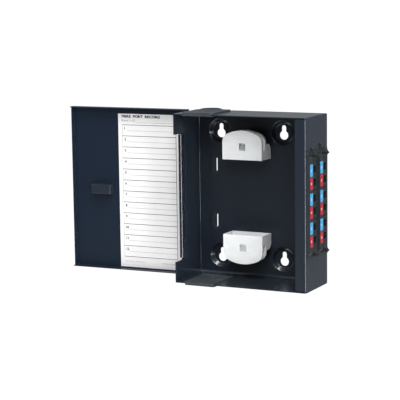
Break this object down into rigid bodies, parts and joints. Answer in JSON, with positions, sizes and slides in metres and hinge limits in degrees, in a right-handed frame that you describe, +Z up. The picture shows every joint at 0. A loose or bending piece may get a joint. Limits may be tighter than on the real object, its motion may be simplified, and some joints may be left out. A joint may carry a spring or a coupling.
{
  "type": "fibre patch enclosure",
  "caption": "Shallow wall-mount fibre patch box with a swing-open door, slack spools, side coupler plates and cable entry grommets.",
  "frame": {"origin": "centre of the four keyholes' round holes, on the wall plane that the dimples rest on", "axes": "+X to the right as seen from the front, +Y into the wall, +Z up; the door is modelled 178.36 degrees open"},
  "size_m": [0.3734, 0.078, 0.229],
  "materials": {
    "box_paint": "fine textured powder coat",
    "door_paint": "fine textured powder coat",
    "hinge_paint": "powder coat",
    "pin_steel": "satin",
    "pull_plastic": "matte",
    "label_paper": "matt print",
    "spool_plastic": "semi-gloss",
    "rivet_plastic": "matte",
    "grommet_rubber": "matte",
    "plate_plastic": "fine texture",
    "coupler_plastic": "semi-gloss",
    "sleeve_ceramic": "polished",
    "icon_blue": "gloss",
    "icon_red": "gloss",
    "plunger_plastic": "matte"
  },
  "bodies": {
    "enclosure": {"enclosure_shell": "box_paint", "hinge_leaf_body": "hinge_paint", "hinge_pin": "pin_steel", "spool_upper": "spool_plastic", "spool_rivets_upper": "rivet_plastic", "spool_lower": "spool_plastic", "spool_rivets_lower": "rivet_plastic", "entry_grommet_top": "grommet_rubber", "entry_grommet_bottom": "grommet_rubber", "coupler_plate_front": "plate_plastic", "coupler_plate_rear": "plate_plastic", "coupler_1": "coupler_plastic", "coupler_2": "coupler_plastic", "coupler_3": "coupler_plastic", "coupler_4": "coupler_plastic", "coupler_5": "coupler_plastic", "coupler_6": "coupler_plastic", "alignment_sleeves": "sleeve_ceramic", "port_icons_blue": "icon_blue", "port_icons_red": "icon_red", "plunger_sleeves": "plunger_plastic"},
    "door": {"door_panel": "door_paint", "hinge_leaf_door": "hinge_paint", "door_pull": "pull_plastic", "port_label": "label_paper"},
    "plunger_knob_1": {"plunger_1": "plunger_plastic"},
    "plunger_knob_2": {"plunger_2": "plunger_plastic"},
    "plunger_knob_3": {"plunger_3": "plunger_plastic"},
    "plunger_knob_4": {"plunger_4": "plunger_plastic"}
  },
  "joints": [
    {"name": "door_hinge", "type": "hinge", "parent": "enclosure", "child": "door", "pos_m": [-0.079, -0.054, 0.004], "axis": [0, 0, 1], "range_deg": [-1.64, 178.36]},
    {"name": "plunger_1_slide", "type": "slide", "parent": "enclosure", "child": "plunger_knob_1", "axis": [1, 0, 0], "range_m": [0, 0.004]},
    {"name": "plunger_2_slide", "type": "slide", "parent": "enclosure", "child": "plunger_knob_2", "axis": [1, 0, 0], "range_m": [0, 0.004]},
    {"name": "plunger_3_slide", "type": "slide", "parent": "enclosure", "child": "plunger_knob_3", "axis": [1, 0, 0], "range_m": [0, 0.004]},
    {"name": "plunger_4_slide", "type": "slide", "parent": "enclosure", "child": "plunger_knob_4", "axis": [1, 0, 0], "range_m": [0, 0.004]}
  ]
}
